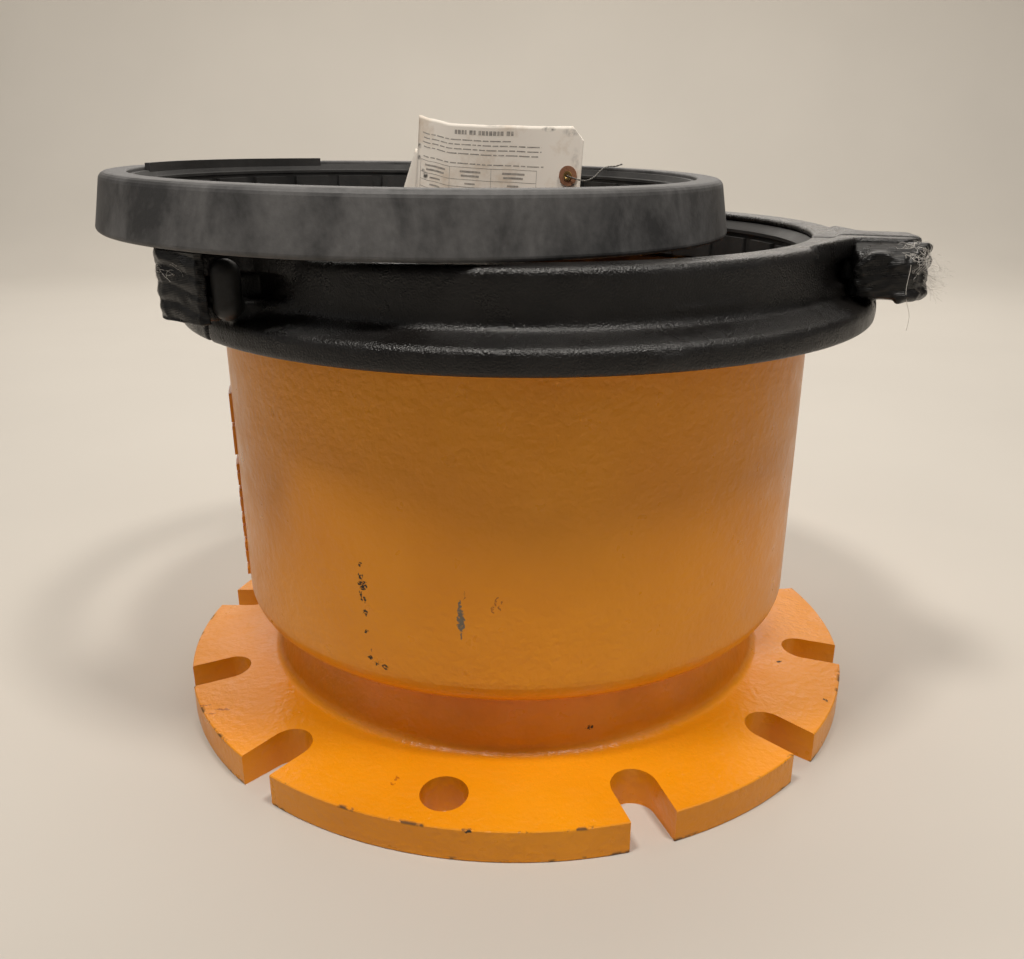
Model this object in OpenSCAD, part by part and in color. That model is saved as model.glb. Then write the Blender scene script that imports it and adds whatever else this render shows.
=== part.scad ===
// Wide-range flange adaptor: a cast flange and bowl, a three-piece clamp ring with hammer-head
// bolts, its rubber seal, and a loose gasket with a wired tag lying on top.
// Millimetres. The origin is the centre of the flange's mating face, and +Z runs up the waterway.

/* [Flange] */
// Outside diameter of the flange
flange_d = 406.4; // [390:0.1:430]
// Thickness of the flange
flange_t = 18; // [14:0.5:24]
// Distance from the flange's edge in to the bolt circle
hole_inset = 22.225; // [20:0.005:26]
// Diameter of a round hole and width of a slot
bolt_hole_d = 24; // [20:0.5:27]
// Places round the bolt circle, two of them round holes and the rest slots open to the edge
bolt_places = 12; // [8:4:12]
// Direction of the first round hole, in degrees
hole_turn = -101.35; // [-110:0.05:-90]
// Rise of the flange's top from its edge to the neck
flange_rise = 4.5; // [2:0.5:6]
// Bevel on the flange's edges
flange_bevel = 0.5; // [0.3:0.1:2]

/* [Body] */
// Diameter of the waterway through the neck
bore_d = 254; // [240:1:262]
// Wall of the neck under the bowl
neck_wall = 18; // [15:0.5:20]
// How far the neck spreads on its way down to the flange
neck_draft = 3.5; // [2:0.5:5]
// Fillet from the neck to the flange
neck_fillet = 6; // [4:0.5:8]
// Fillet from the neck to the underside of the bowl
throat_fillet = 3; // [2:0.2:3.4]
// Height of the neck, from the flange's edge to the bowl's underside
neck_h = 39; // [36:0.5:50]
// How far the bowl stands out past the neck
bowl_step = 18.5; // [18.5:0.5:24]
// Wall of the bowl
bowl_wall = 9; // [7:0.5:11]
// Outside radius of the bowl's lower corner
bowl_corner = 15; // [12:0.5:15]
// Height of the bowl with its lip
bowl_h = 182; // [170:0.5:200]
// How far the lip that the clamp ring hooks under stands out past the bowl
lip_reach = 13.5; // [12:0.5:15]
// Thickness of the lip
lip_t = 6; // [5:0.5:8]
// Direction of the raised cast bars on the bowl, in degrees
mark_turn = -172; // [-180:1:-160]
// How far the raised bars stand out
mark_h = 1.6; // [0.8:0.2:2.4]

/* [Clamp ring] */
// How far the loose ring has slid along X
ring_shift = 6; // [3:0.5:6.5]
// How far the seal's pocket lies inside the lip's edge
pocket_step = 12.5; // [11:0.5:14]
// Thickness of the ring's upper wall
ring_wall = 7.5; // [6:0.5:9]
// How far the ring's crown reaches in over the seal
crown_reach = 10; // [8:0.5:12]
// Thickness of the skirt round the lip
skirt_wall = 6.5; // [5.5:0.5:8]
// Height of the ring over the lip's top
ring_rise = 31.5; // [29:0.5:36]
// Height of the skirt's outer face
skirt_h = 11.5; // [10:0.5:12]
// Thickness of the hook under the lip
hook_t = 3.8; // [3:0.2:5]
// Thickness of the inward lip at the top
crown_t = 4; // [3:0.2:5]
// Gap between two segments at the seam
seam_gap = 2.4; // [1.5:0.1:4]
// Direction of the first seam, in degrees
seam_turn = -22; // [-30:1:-14]

/* [Lugs] */
// Width of the lug under the bolt's head
lug_w = 25; // [22:0.5:28]
// Width of the lug under the nut
nut_lug_w = 13; // [11:0.5:16]
// How far the lug's end at the seam reaches past the nut
lug_end = 9; // [8.5:0.5:11]
// How much shorter a lug is at its outer side
lug_taper = 7; // [4:0.5:8]
// How far the lug stands over the ring's top
lug_proud = 1.8; // [1:0.1:2]
// Distance from the ring's wall to the top of the ramp behind the lug
ramp_out = 6; // [4:0.5:8]
// Distance from the seam to the end of the ramp
ramp_run = 50; // [45:1:55]
// Height of the open slot for the bolt
slot_h = 11.5; // [11:0.1:13]

/* [Bolts] */
// Diameter of a bolt
bolt_d = 10; // [8:0.5:10.5]
// Distance from the ring's wall to the bolt's axis
bolt_out = 18; // [17:0.5:20]
// Length of the hammer head, across both fingers of the lug
head_l = 27; // [24:0.5:28]
// Width of the hammer head
head_w = 13; // [11:0.5:13.5]
// Thickness of the hammer head along the bolt
head_t = 9; // [7:0.5:10]
// Width of the nut across its flats
nut_af = 16; // [15:0.5:17]
// Height of the nut
nut_h = 8; // [6:0.5:10]
// Outside diameter of the washer
washer_d = 18; // [17:0.5:19]
// Thickness of the washer
washer_t = 2; // [1.5:0.1:3]
// Length of bolt beyond the nut
thread_out = 4; // [3:0.5:8]

/* [Seal and gasket] */
// How far the seal's bead reaches in past the crown
bead_reach = 4; // [2.5:0.5:5.5]
// Number of moulded blocks round the inside of each seal
blocks = 30; // [24:1:36]
// How far the blocks stand out
block_h = 3; // [2:0.5:4]
// How far the loose gasket's foot reaches out past the ring's opening
gasket_over = 13.5; // [11:0.5:15]
// How far its outside leans in, from foot to top
gasket_draft = 5; // [3:0.5:7]
// Width of its outer layer at the top
gasket_rim = 13; // [11:0.5:15]
// Height of the loose gasket
gasket_h = 28; // [26:0.5:32]
// Thickness of the insert
insert_t = 4; // [3:0.5:5]
// How far the lifted stretch of the insert stands over the gasket's top
insert_lift = 1.8; // [1:0.2:4]
// How far the loose gasket has slid off the ring's centre, to the left
gasket_slide = 59.5; // [56:0.5:63]
// How far it has slid to the front
gasket_aside = 6; // [3:0.5:9]
// Lean of the loose gasket, which rests on the lugs at the left, in degrees
gasket_tilt = 1; // [0.8:0.1:1.4]

/* [Tag] */
// Length of a card
card_l = 120.6; // [110:0.1:130]
// Height of a card
card_h = 60.3; // [54:0.1:66]
// Thickness of a card
card_t = 0.5; // [0.4:0.1:0.8]
// Cut corner of a card at the eyelet's end
card_clip = 8; // [5:0.5:12]
// Diameter of the fibre patch
patch_d = 12; // [10:0.5:14]
// Diameter of the wire
wire_d = 1; // [0.8:0.1:1.4]

/* [Tape] */
// Thickness of the wound tape over the lugs' ends
tape_t = 1.6; // [1:0.2:3]
// Thickness of the tape round a nut
tape_wall = 1.6; // [1.2:0.2:2.4]

/* [Hidden] */
$fn = 96;

// Clearance between pieces that rest on each other
rest_gap = 0.2;
// Radial running clearance of a nut on its bolt
nut_clear = 0.05;
// Extra length of a cut past the face that it opens
cut = 5;
// Depth that a raised detail is sunk into what carries it
sunk = 1;

// The casting, from its bore outwards and its flange upwards
bolt_circle_d = flange_d - 2 * hole_inset;
neck_r = bore_d / 2 + neck_wall;
bowl_r = neck_r + bowl_step;
lip_r = bowl_r + lip_reach;
bowl_z = flange_t + neck_h;
body_h = bowl_z + bowl_h;
lip_z = body_h - lip_t;

// The clamp ring's radii, from the lip that it hooks under with room to slide
slide_room = 1;
groove_r = lip_r + ring_shift + slide_room;
skirt_r = groove_r + skirt_wall;
pocket_r = lip_r - pocket_step;
wall_r = pocket_r + ring_wall;
opening_r = pocket_r - crown_reach;

// The clamp ring's levels, from the lip that it sits on
skirt_z = lip_z - rest_gap - hook_t;
skirt_top = skirt_z + skirt_h;
ring_top = body_h + ring_rise;
ring_round = 4;
lug_z = skirt_top + 2;
lug_top = ring_top + lug_proud;
lug_back = 0.6;
segments = 3;
segment_arc = 360 / segments;
right_seam = 0;
rear_seam = 1;
left_seam = 2;

// The bolts lie midway up the lugs' slots, with the nuts not yet drawn tight
slot_z = (lug_z + lug_top) / 2 - 1;
nut_slack = 0.3;
washer_z = nut_lug_w + nut_slack;
nut_z = washer_z + washer_t + nut_slack;
bolt_end = nut_z + nut_h + thread_out;
nut_corner = nut_af / 2 / cos(30);
nut_room = max(nut_corner, washer_d / 2) + rest_gap;
bolt_reach = wall_r + bolt_out;
lug_reach = bolt_reach + nut_room + lug_end;
ramp_top = wall_r + ramp_out;
tape_lap = 2;

// The seal fills the pocket under the ring's crown
seal_top = ring_top - crown_t - rest_gap;
bead_r = opening_r - bead_reach;
block_share = 0.76;

// The gasket's foot rests on the ring where the two circles cross at the front
foot_r = opening_r + gasket_over;
top_r = foot_r - gasket_draft;
split_r = top_r - gasket_rim;
insert_r = split_r - insert_t;
gasket_off = norm([gasket_slide, gasket_aside]);
cross_along = (pow(foot_r, 2) - pow(opening_r, 2) + pow(gasket_off, 2)) / 2 / gasket_off;
cross_aside = sqrt(pow(foot_r, 2) - pow(cross_along, 2));
cross_x = (cross_along * gasket_slide + cross_aside * gasket_aside) / gasket_off;
gasket_x = ring_shift - gasket_slide;
gasket_z = ring_top + rest_gap + cross_x * tan(gasket_tilt);
lift_from = 121.5;
lift_to = 180;

// The cards stand across the gasket's far side, with one lower corner a little way in from the insert
tag_inset = 13.7;
tag_from = 96.4;
tag_drop = 0.7;
tag_corner = [
    gasket_x + (insert_r - tag_inset) * cos(tag_from),
    -gasket_aside + (insert_r - tag_inset) * sin(tag_from),
    ring_top - tag_drop,
];
tag_turn = [-1, 3, -27.5];
eyelet_in = 8.2;
eyelet_d = 6;
eyelet_hole_d = 3.6;
patch_t = 0.5;

// The wire's route: beside the eyelet, then over the gasket's rim as [direction, reach, height]
wire_leaves = [[0, -1.2, 0], [3, -2, -0.6], [8, -1.8, -1.6], [10.5, -0.6, -2], [12, 2, -2]];
wire_lies = [
    [39.9, -10.4, -4.2], [40.8, -4.8, -1.8], [41.3, 0, 0], [41.1, 4.5, 0.7], [40.4, 8, 0.9], [39.3, 11, 2.3],
];

// Points of an arc from angle a0 to a1
function arc(x, y, r, a0, a1, n = 8) =
    [for (i = [0 : n]) let (a = a0 + (a1 - a0) * i / n) [x + r * cos(a), y + r * sin(a)]];

function unit(v) = v / norm(v);

// A point turned round one axis
function turn_x(v, a) = [v[0], v[1] * cos(a) - v[2] * sin(a), v[1] * sin(a) + v[2] * cos(a)];
function turn_y(v, a) = [v[0] * cos(a) + v[2] * sin(a), v[1], v[2] * cos(a) - v[0] * sin(a)];
function turn_z(v, a) = [v[0] * cos(a) - v[1] * sin(a), v[0] * sin(a) + v[1] * cos(a), v[2]];

// An outline from corners [x, y, radius], with each corner rounded by n chords
function rounded(corners, n = 4) = [
    for (i = [0 : len(corners) - 1])
        let (
            p = [corners[i][0], corners[i][1]],
            before = corners[(i + len(corners) - 1) % len(corners)],
            after = corners[(i + 1) % len(corners)],
            u = unit([before[0], before[1]] - p),
            v = unit([after[0], after[1]] - p),
            half = acos(max(-1, min(1, u * v))) / 2,
            r = corners[i][2],
            middle = p + unit(u + v) * r / sin(half),
            start = p + u * r / tan(half) - middle,
            finish = p + v * r / tan(half) - middle,
            a0 = atan2(start[1], start[0]),
            turn = (atan2(finish[1], finish[0]) - a0 + 540) % 360 - 180
        )
        each r == 0 ? [p] : arc(middle[0], middle[1], r, a0, a0 + turn, n)
];

// Flange, neck and bowl, one casting

module body_section() {
    bore_r = bore_d / 2;
    flange_r = flange_d / 2;
    inner_r = bowl_r - bowl_wall;
    floor_z = bowl_z + bowl_wall;
    inner_corner = bowl_corner - bowl_wall / 2;
    b = flange_bevel;
    hub_r = neck_r + neck_draft + neck_fillet;
    hub_z = flange_t + flange_rise;
    flange_slope = atan(flange_rise / (flange_r - b - hub_r));
    neck_slope = atan(neck_draft / (neck_h - flange_rise - neck_fillet - throat_fillet));
    polygon(concat(
        [[bore_r, 0], [flange_r - b, 0], [flange_r, b], [flange_r, flange_t - b], [flange_r - b, flange_t]],
        arc(hub_r, hub_z + neck_fillet, neck_fillet, 270 - flange_slope, 180 + neck_slope, 8),
        arc(neck_r + throat_fillet, bowl_z - throat_fillet, throat_fillet, 180 + neck_slope, 90, 5),
        arc(bowl_r - bowl_corner, bowl_z + bowl_corner, bowl_corner, 270, 360, 10),
        [[bowl_r, lip_z], [lip_r, lip_z], [lip_r, body_h], [inner_r, body_h]],
        arc(inner_r - inner_corner, floor_z + inner_corner, inner_corner, 0, -90, 6),
        [[bore_r, floor_z]]
    ));
}

// One place on the bolt circle: a round hole, or a slot open to the flange's edge
module bolt_place(is_slot) {
    linear_extrude(flange_t + flange_rise + cut) {
        translate([bolt_circle_d / 2, 0])
            circle(d = bolt_hole_d);
        if (is_slot)
            translate([bolt_circle_d / 2, -bolt_hole_d / 2])
                square([flange_d, bolt_hole_d]);
    }
}

// One raised bar on the bowl, over z0 to z1
module cast_bar(z0, z1, spread) {
    rotate(mark_turn - spread / 2)
        rotate_extrude(angle = spread)
            translate([bowl_r - sunk, z0])
                square([sunk + mark_h, z1 - z0]);
}

module cast_bars() {
    tall_h = 16.5;
    tall_pitch = 19;
    tall_rows = 2;
    short_h = 3.6;
    short_pitch = 5.4;
    short_rows = 13;
    row_gap = 4;
    wide = 16;
    narrow = 12;
    short_z = bowl_z + bowl_corner + row_gap;
    tall_z = short_z + short_rows * short_pitch + row_gap;
    for (i = [0 : tall_rows - 1])
        cast_bar(tall_z + i * tall_pitch, tall_z + i * tall_pitch + tall_h, wide);
    for (i = [0 : short_rows - 1])
        cast_bar(short_z + i * short_pitch, short_z + i * short_pitch + short_h, i % 3 == 1 ? narrow : wide);
}

module flange_body() {
    color("darkorange") {
        difference() {
            rotate_extrude()
                body_section();
            for (i = [0 : bolt_places - 1])
                rotate(hole_turn + i * 360 / bolt_places)
                    translate([0, 0, -cut])
                        bolt_place(i % (bolt_places / 2) != 0);
        }
        cast_bars();
    }
}

// Clamp ring

// Puts its children in a seam's own frame: X out along the seam, Y along the bolt
module at_seam(i) {
    translate([ring_shift, 0, 0])
        rotate(seam_turn + i * segment_arc)
            children();
}

module ring_section() {
    hook_r = bowl_r + ring_shift + 1.5 * slide_room;
    skirt_slope = 4.5;
    polygon(rounded([
        [hook_r, skirt_z, 1],
        [skirt_r, skirt_z, 2],
        [skirt_r, skirt_top, ring_round],
        [wall_r, skirt_top + skirt_slope, ring_round],
        [wall_r, ring_top, ring_round],
        [opening_r, ring_top, 1.5],
        [opening_r, ring_top - crown_t, 0],
        [pocket_r, ring_top - crown_t, 0],
        [pocket_r, body_h, 0],
        [groove_r, body_h, 0],
        [groove_r, lip_z - rest_gap, 0],
        [hook_r, lip_z - rest_gap, 0],
    ]));
}

// Plan of a lug of width w at a segment's end, with the ramp that runs back to the wall
module lug_plan(w) {
    inside = opening_r - cut;
    root_r = (pocket_r + wall_r) / 2;
    set_back = seam_gap / 2 + lug_back;
    tip_round = 1.5;
    side_round = 4;
    ramp_round = 6;
    difference() {
        polygon(rounded([
            [inside, set_back, 0],
            [lug_reach, set_back, tip_round],
            [lug_reach - lug_taper, w, side_round],
            [ramp_top, w, ramp_round],
            [sqrt(pow(wall_r, 2) - pow(ramp_run, 2)) - sunk, ramp_run, 0],
            [inside, ramp_run, 0],
        ]));
        circle(root_r);
    }
}

// Plan of the web that closes the slot between the ring's wall and the bolt, set in from the lug's side
module slot_web(w) {
    room = 3;
    recess = 5;
    web_round = 2.5;
    set_back = seam_gap / 2 + lug_back + sunk;
    reach = bolt_reach - bolt_d / 2 - room;
    difference() {
        polygon(rounded([
            [opening_r - cut, set_back, 0],
            [reach, set_back, 0],
            [reach, w - recess, web_round],
            [opening_r - cut, w - recess, 0],
        ]));
        circle((pocket_r + wall_r) / 2);
    }
}

// Raised plain bars on a segment's wall and skirt
module segment_bars() {
    bar_out = 0.7;
    long_arc = 12;
    long_h = 1.2;
    long_z = skirt_top + ring_rise / 3;
    short_from = 7;
    short_arc = 4;
    short_h = 3;
    rotate(segment_arc / 2 + long_arc)
        rotate_extrude(angle = long_arc)
            translate([wall_r - sunk, long_z])
                square([sunk + bar_out, long_h]);
    rotate(segment_arc / 2 + short_from)
        rotate_extrude(angle = short_arc)
            translate([skirt_r - sunk, (skirt_z + skirt_top - short_h) / 2])
                square([sunk + bar_out, short_h]);
}

// Each lug is a lower and an upper finger, with the open slot between them and a web behind the bolt
module lug(w) {
    lower_top = slot_z - slot_h / 2;
    upper_foot = slot_z + slot_h / 2;
    web_sunk = 2;
    translate([0, 0, lower_top - web_sunk])
        linear_extrude(slot_h + 2 * web_sunk)
            slot_web(w);
    translate([0, 0, lug_z])
        linear_extrude(lower_top - lug_z)
            lug_plan(w);
    translate([0, 0, upper_foot])
        linear_extrude(lug_top - upper_foot)
            lug_plan(w);
}

// A segment runs from seam i to the next one
module clamp_segment(i) {
    seam_arc = seam_gap / wall_r * 180 / PI;
    color([0.09, 0.09, 0.095])
        at_seam(i) {
            rotate(seam_arc / 2)
                rotate_extrude(angle = segment_arc - seam_arc)
                    ring_section();
            segment_bars();
            lug(lug_w);
            rotate(segment_arc)
                mirror([0, 1, 0])
                    lug(nut_lug_w);
        }
}

module clamp_segment_right() {
    clamp_segment(right_seam);
}

module clamp_segment_left() {
    clamp_segment(rear_seam);
}

module clamp_segment_front() {
    clamp_segment(left_seam);
}

// Bolts, washers and nuts

// Puts its children on a bolt's axis: Z runs from the seam towards the nut
module on_bolt(i) {
    at_seam(i)
        translate([bolt_reach, 0, slot_z])
            rotate([90, 0, 0])
                children();
}

// The head's rounded bar lies across the slot, flat where it bears on the lug
module hammer_head() {
    straight = head_l - head_w;
    difference() {
        translate([0, 0, -lug_w - head_t + head_w / 2])
            rotate([90, 0, 0]) {
                cylinder(h = straight, d = head_w, center = true);
                for (end = [-1, 1])
                    translate([0, 0, end * straight / 2])
                        sphere(d = head_w);
            }
        translate([-head_l, -head_l, -lug_w])
            cube(2 * head_l);
    }
}

module t_bolt(i) {
    end_bevel = 1;
    color("dimgray")
        on_bolt(i) {
            translate([0, 0, -lug_w - head_t / 2])
                cylinder(h = lug_w + head_t / 2 + bolt_end - end_bevel, d = bolt_d);
            translate([0, 0, bolt_end - end_bevel])
                cylinder(h = end_bevel, d1 = bolt_d, d2 = bolt_d - 2 * end_bevel);
            hammer_head();
        }
}

module t_bolt_left() {
    t_bolt(left_seam);
}

module t_bolt_right() {
    t_bolt(right_seam);
}

module t_bolt_rear() {
    t_bolt(rear_seam);
}

module washer(i) {
    color("silver")
        on_bolt(i)
            translate([0, 0, washer_z])
                difference() {
                    cylinder(h = washer_t, d = washer_d);
                    translate([0, 0, -cut])
                        cylinder(h = washer_t + 2 * cut, d = bolt_d + 2 * nut_clear);
                }
}

module washer_left() {
    washer(left_seam);
}

module washer_right() {
    washer(right_seam);
}

module washer_rear() {
    washer(rear_seam);
}

// A hexagon nut with its corners turned off at both faces
module nut(i) {
    corner_drop = 1.2;
    face_r = nut_af / 2 - rest_gap;
    color("silver")
        on_bolt(i)
            translate([0, 0, nut_z])
                difference() {
                    intersection() {
                        cylinder(h = nut_h, r = nut_corner, $fn = 6);
                        rotate_extrude()
                            polygon([
                                [0, 0], [face_r, 0], [nut_corner, corner_drop],
                                [nut_corner, nut_h - corner_drop], [face_r, nut_h], [0, nut_h],
                            ]);
                    }
                    translate([0, 0, -cut])
                        cylinder(h = nut_h + 2 * cut, d = bolt_d + 2 * nut_clear);
                }
}

module nut_left() {
    nut(left_seam);
}

module nut_right() {
    nut(right_seam);
}

module nut_rear() {
    nut(rear_seam);
}

// Seal and loose gasket

// Blocks moulded round an inner wall of radius r, from z0 to z1
module moulded_blocks(r, z0, z1) {
    pitch = 360 / blocks;
    for (i = [0 : blocks - 1])
        rotate(i * pitch)
            rotate_extrude(angle = pitch * block_share)
                translate([r - block_h, z0])
                    square([block_h + sunk, z1 - z0]);
}

module seal_ring() {
    inner_r = bead_r + 1.5;
    outer_r = pocket_r - rest_gap;
    foot_bevel = 2;
    bead_bevel = 0.8;
    bead_h = 1.8;
    lead_z = seal_top - 3.6;
    bead_z = lead_z - bead_bevel;
    wall_z = bead_z - bead_h - bead_bevel;
    color("gray")
        translate([ring_shift, 0, 0]) {
            rotate_extrude()
                polygon([
                    [inner_r + foot_bevel, body_h], [outer_r, body_h], [outer_r, seal_top],
                    [opening_r + sunk, seal_top], [bead_r + bead_bevel, lead_z], [bead_r, bead_z],
                    [bead_r, bead_z - bead_h], [inner_r, wall_z], [inner_r, body_h + foot_bevel],
                ]);
            moulded_blocks(inner_r, body_h + foot_bevel + sunk, wall_z - foot_bevel);
        }
}

// Puts its children in the loose gasket's own leaning frame
module on_gasket() {
    translate([gasket_x, -gasket_aside, gasket_z])
        rotate([0, gasket_tilt, 0])
            children();
}

module gasket_ring() {
    inner_round = 1;
    foot_round = 2;
    top_round = 4;
    color([0.3, 0.31, 0.32])
        on_gasket()
            rotate_extrude()
                polygon(rounded([
                    [split_r, 0, inner_round],
                    [foot_r, 0, foot_round],
                    [top_r, gasket_h, top_round],
                    [split_r, gasket_h, inner_round],
                ]));
}

// The insert's rim sits just under the gasket's top, apart from one stretch that has lifted out
module gasket_insert() {
    out_r = split_r - rest_gap;
    foot = 1;
    rim_drop = 2;
    rim_in = 1.5;
    rim_h = 3;
    bead_out = 0.8;
    bead_bevel = 0.6;
    bead_h = 1.4;
    top = gasket_h - rim_drop;
    bead_z = top - rim_h - bead_bevel;
    wall_z = bead_z - bead_h - bead_bevel;
    strip_r = insert_r + sunk;
    strip_z = top - rim_drop;
    color([0.22, 0.22, 0.23])
        on_gasket() {
            rotate_extrude()
                polygon([
                    [insert_r, foot], [out_r, foot], [out_r, top], [insert_r + rim_in, top],
                    [insert_r, top - rim_h], [insert_r - bead_out, bead_z],
                    [insert_r - bead_out, bead_z - bead_h], [insert_r, wall_z],
                ]);
            rotate(lift_from)
                rotate_extrude(angle = lift_to - lift_from)
                    translate([strip_r, strip_z])
                        square([out_r - rest_gap - strip_r, gasket_h + insert_lift - strip_z]);
            moulded_blocks(insert_r, foot + rim_drop, wall_z - rim_in);
        }
}

// Tag

// Puts its children in the front card's own frame: X along it, Z up it, Y through it
module on_tag() {
    translate(tag_corner)
        rotate(tag_turn)
            children();
}

// A card with two cut corners and a hole at the eyelet's end
module card() {
    rotate([90, 0, 0])
        linear_extrude(card_t)
            difference() {
                polygon([
                    [0, 0], [card_l - card_clip, 0], [card_l, card_clip],
                    [card_l, card_h - card_clip], [card_l - card_clip, card_h], [0, card_h],
                ]);
                translate([card_l - eyelet_in, card_h / 2])
                    circle(d = eyelet_hole_d + 2 * rest_gap);
            }
}

module tag_card() {
    color("linen")
        on_tag()
            card();
}

// The second, smaller card stands behind the first, with its left end showing below the first one's
module tag_card_back() {
    back_l = 96;
    back_h = 38;
    left = -1.8;
    top = 39.4;
    roll = 19;
    card_gap = 0.1;
    color("ivory")
        on_tag()
            translate([left, card_t + card_gap, top])
                rotate([90, roll, 0])
                    linear_extrude(card_t)
                        translate([0, -back_h])
                            square([back_l, back_h]);
}

// Puts its children at the eyelet: Z out of the front card's face
module at_eyelet() {
    on_tag()
        translate([card_l - eyelet_in, -card_t, card_h / 2])
            rotate([90, 0, 0])
                children();
}

module tag_patch() {
    color("rosybrown")
        at_eyelet()
            difference() {
                cylinder(h = patch_t, d = patch_d);
                translate([0, 0, -cut])
                    cylinder(h = 2 * cut, d = eyelet_hole_d + 2 * rest_gap);
            }
}

// A rolled brass ring, with its barrel through patch and card
module tag_eyelet() {
    rim = 0.7;
    brass_t = 0.5;
    roll_in = 0.3;
    barrel_r = eyelet_hole_d / 2;
    hole_r = barrel_r - brass_t;
    color("goldenrod")
        at_eyelet()
            rotate_extrude()
                polygon([
                    [hole_r, -card_t], [barrel_r, -card_t], [barrel_r, patch_t], [eyelet_d / 2, patch_t],
                    [eyelet_d / 2 - roll_in, patch_t + rim], [hole_r + roll_in, patch_t + rim],
                    [hole_r, patch_t + roll_in],
                ]);
}

// A round tube swept along points, with the given number of sides
module tube(points, d, sides = 8) {
    last = len(points) - 1;
    upright = [0.2, 0.35, 1];
    rings = [
        for (i = [0 : last])
            let (
                along = unit(points[min(i + 1, last)] - points[max(i - 1, 0)]),
                across = unit(cross(along, upright)),
                over = cross(across, along)
            )
            for (k = [0 : sides - 1])
                points[i] + d / 2 * (across * cos(360 * k / sides) + over * sin(360 * k / sides))
    ];
    walls = [
        for (i = [0 : last - 1], k = [0 : sides - 1])
            let (m = (k + 1) % sides)
            [i * sides + k, (i + 1) * sides + k, (i + 1) * sides + m, i * sides + m]
    ];
    first_cap = [for (k = [0 : sides - 1]) k];
    last_cap = [for (k = [sides - 1 : -1 : 0]) last * sides + k];
    polyhedron(rings, concat(walls, [first_cap, last_cap]));
}

// A point beside the eyelet's front, given along, through and up the card
function eyelet_point(v) =
    let (p = v + [card_l - eyelet_in, -card_t - patch_t, card_h / 2])
    tag_corner + turn_z(turn_y(turn_x(p, tag_turn[0]), tag_turn[1]), tag_turn[2]);

// A point at the gasket's rim, given as a direction, a reach past the insert and a height over the top
function rim_point(a, out, up) =
    let (r = insert_r + out)
    [gasket_x, -gasket_aside, gasket_z] + turn_y([r * cos(a), r * sin(a), gasket_h + up], gasket_tilt);

// The wire leaves the eyelet, turns back round the card's end and lies over the gasket's rim
module tag_wire() {
    color("gainsboro")
        tube(concat(
            [for (v = wire_leaves) eyelet_point(v)],
            [for (v = wire_lies) rim_point(v[0], v[1], v[2])]
        ), wire_d);
}

// Tape

// Tape wound over a nut and the end of its bolt, closed past the bolt's end
module nut_wrap(i) {
    nut_end = nut_z + nut_h;
    on_bolt(i)
        difference() {
            translate([0, 0, nut_lug_w + rest_gap])
                cylinder(h = bolt_end - nut_lug_w + tape_wall, r = nut_room + tape_wall);
            cylinder(h = nut_end + rest_gap, r = nut_room);
            cylinder(h = bolt_end + rest_gap, d = bolt_d + 2 * rest_gap);
        }
}

// Layers across the two lugs' ends and back over the wrapped nut, from z0 to z1
module end_wrap(z0, z1) {
    nut_far = -bolt_end - tape_wall;
    nut_near = -nut_lug_w - rest_gap;
    inner = lug_reach + rest_gap;
    side = lug_reach - lug_taper + rest_gap;
    over_nut = bolt_reach + nut_room + tape_wall;
    translate([0, 0, z0])
        linear_extrude(z1 - z0)
            polygon([
                [over_nut - tape_wall / 2, nut_far], [over_nut, nut_far], [side + tape_t, nut_near],
                [inner + tape_t, -seam_gap], [inner + tape_t, seam_gap], [side + tape_t, lug_w + tape_lap],
                [side, lug_w + tape_lap], [side, lug_w], [inner, seam_gap / 2], [inner, -seam_gap / 2],
                [side, nut_near], [over_nut - tape_wall / 2, nut_near],
            ]);
}

module tape_right() {
    tape_up = 4;
    color([0.05, 0.05, 0.055]) {
        nut_wrap(right_seam);
        at_seam(right_seam)
            end_wrap(lug_z + sunk, slot_z + slot_h / 2 + tape_up);
    }
}

// At the left the tape also folds over the lugs' top, underside and front
module tape_left() {
    fold = 0.8;
    fold_in = bolt_reach + head_w / 2 + 2 * rest_gap;
    side = lug_reach - lug_taper + rest_gap + tape_t;
    tip = side + lug_taper;
    nut_near = -nut_lug_w - rest_gap;
    z0 = lug_z - rest_gap - fold;
    z1 = lug_top + rest_gap + fold;
    color([0.05, 0.05, 0.055]) {
        nut_wrap(left_seam);
        at_seam(left_seam) {
            end_wrap(z0, z1);
            for (z = [z0, z1 - fold])
                translate([0, 0, z])
                    linear_extrude(fold)
                        polygon([
                            [fold_in, nut_near], [side, nut_near], [tip, -seam_gap],
                            [tip, seam_gap], [side, lug_w + tape_lap], [fold_in, lug_w + tape_lap],
                        ]);
            translate([fold_in, lug_w + rest_gap, z0])
                cube([side - fold_in, tape_lap - rest_gap, z1 - z0]);
        }
    }
}

flange_body();
clamp_segment_front();
clamp_segment_right();
clamp_segment_left();
t_bolt_left();
t_bolt_right();
t_bolt_rear();
washer_left();
washer_right();
washer_rear();
nut_left();
nut_right();
nut_rear();
seal_ring();
gasket_ring();
gasket_insert();
tag_card();
tag_card_back();
tag_patch();
tag_eyelet();
tag_wire();
tape_left();
tape_right();
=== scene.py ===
import bpy, bmesh, math, random
import numpy as np
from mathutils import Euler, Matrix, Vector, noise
from mathutils.bvhtree import BVHTree


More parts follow.
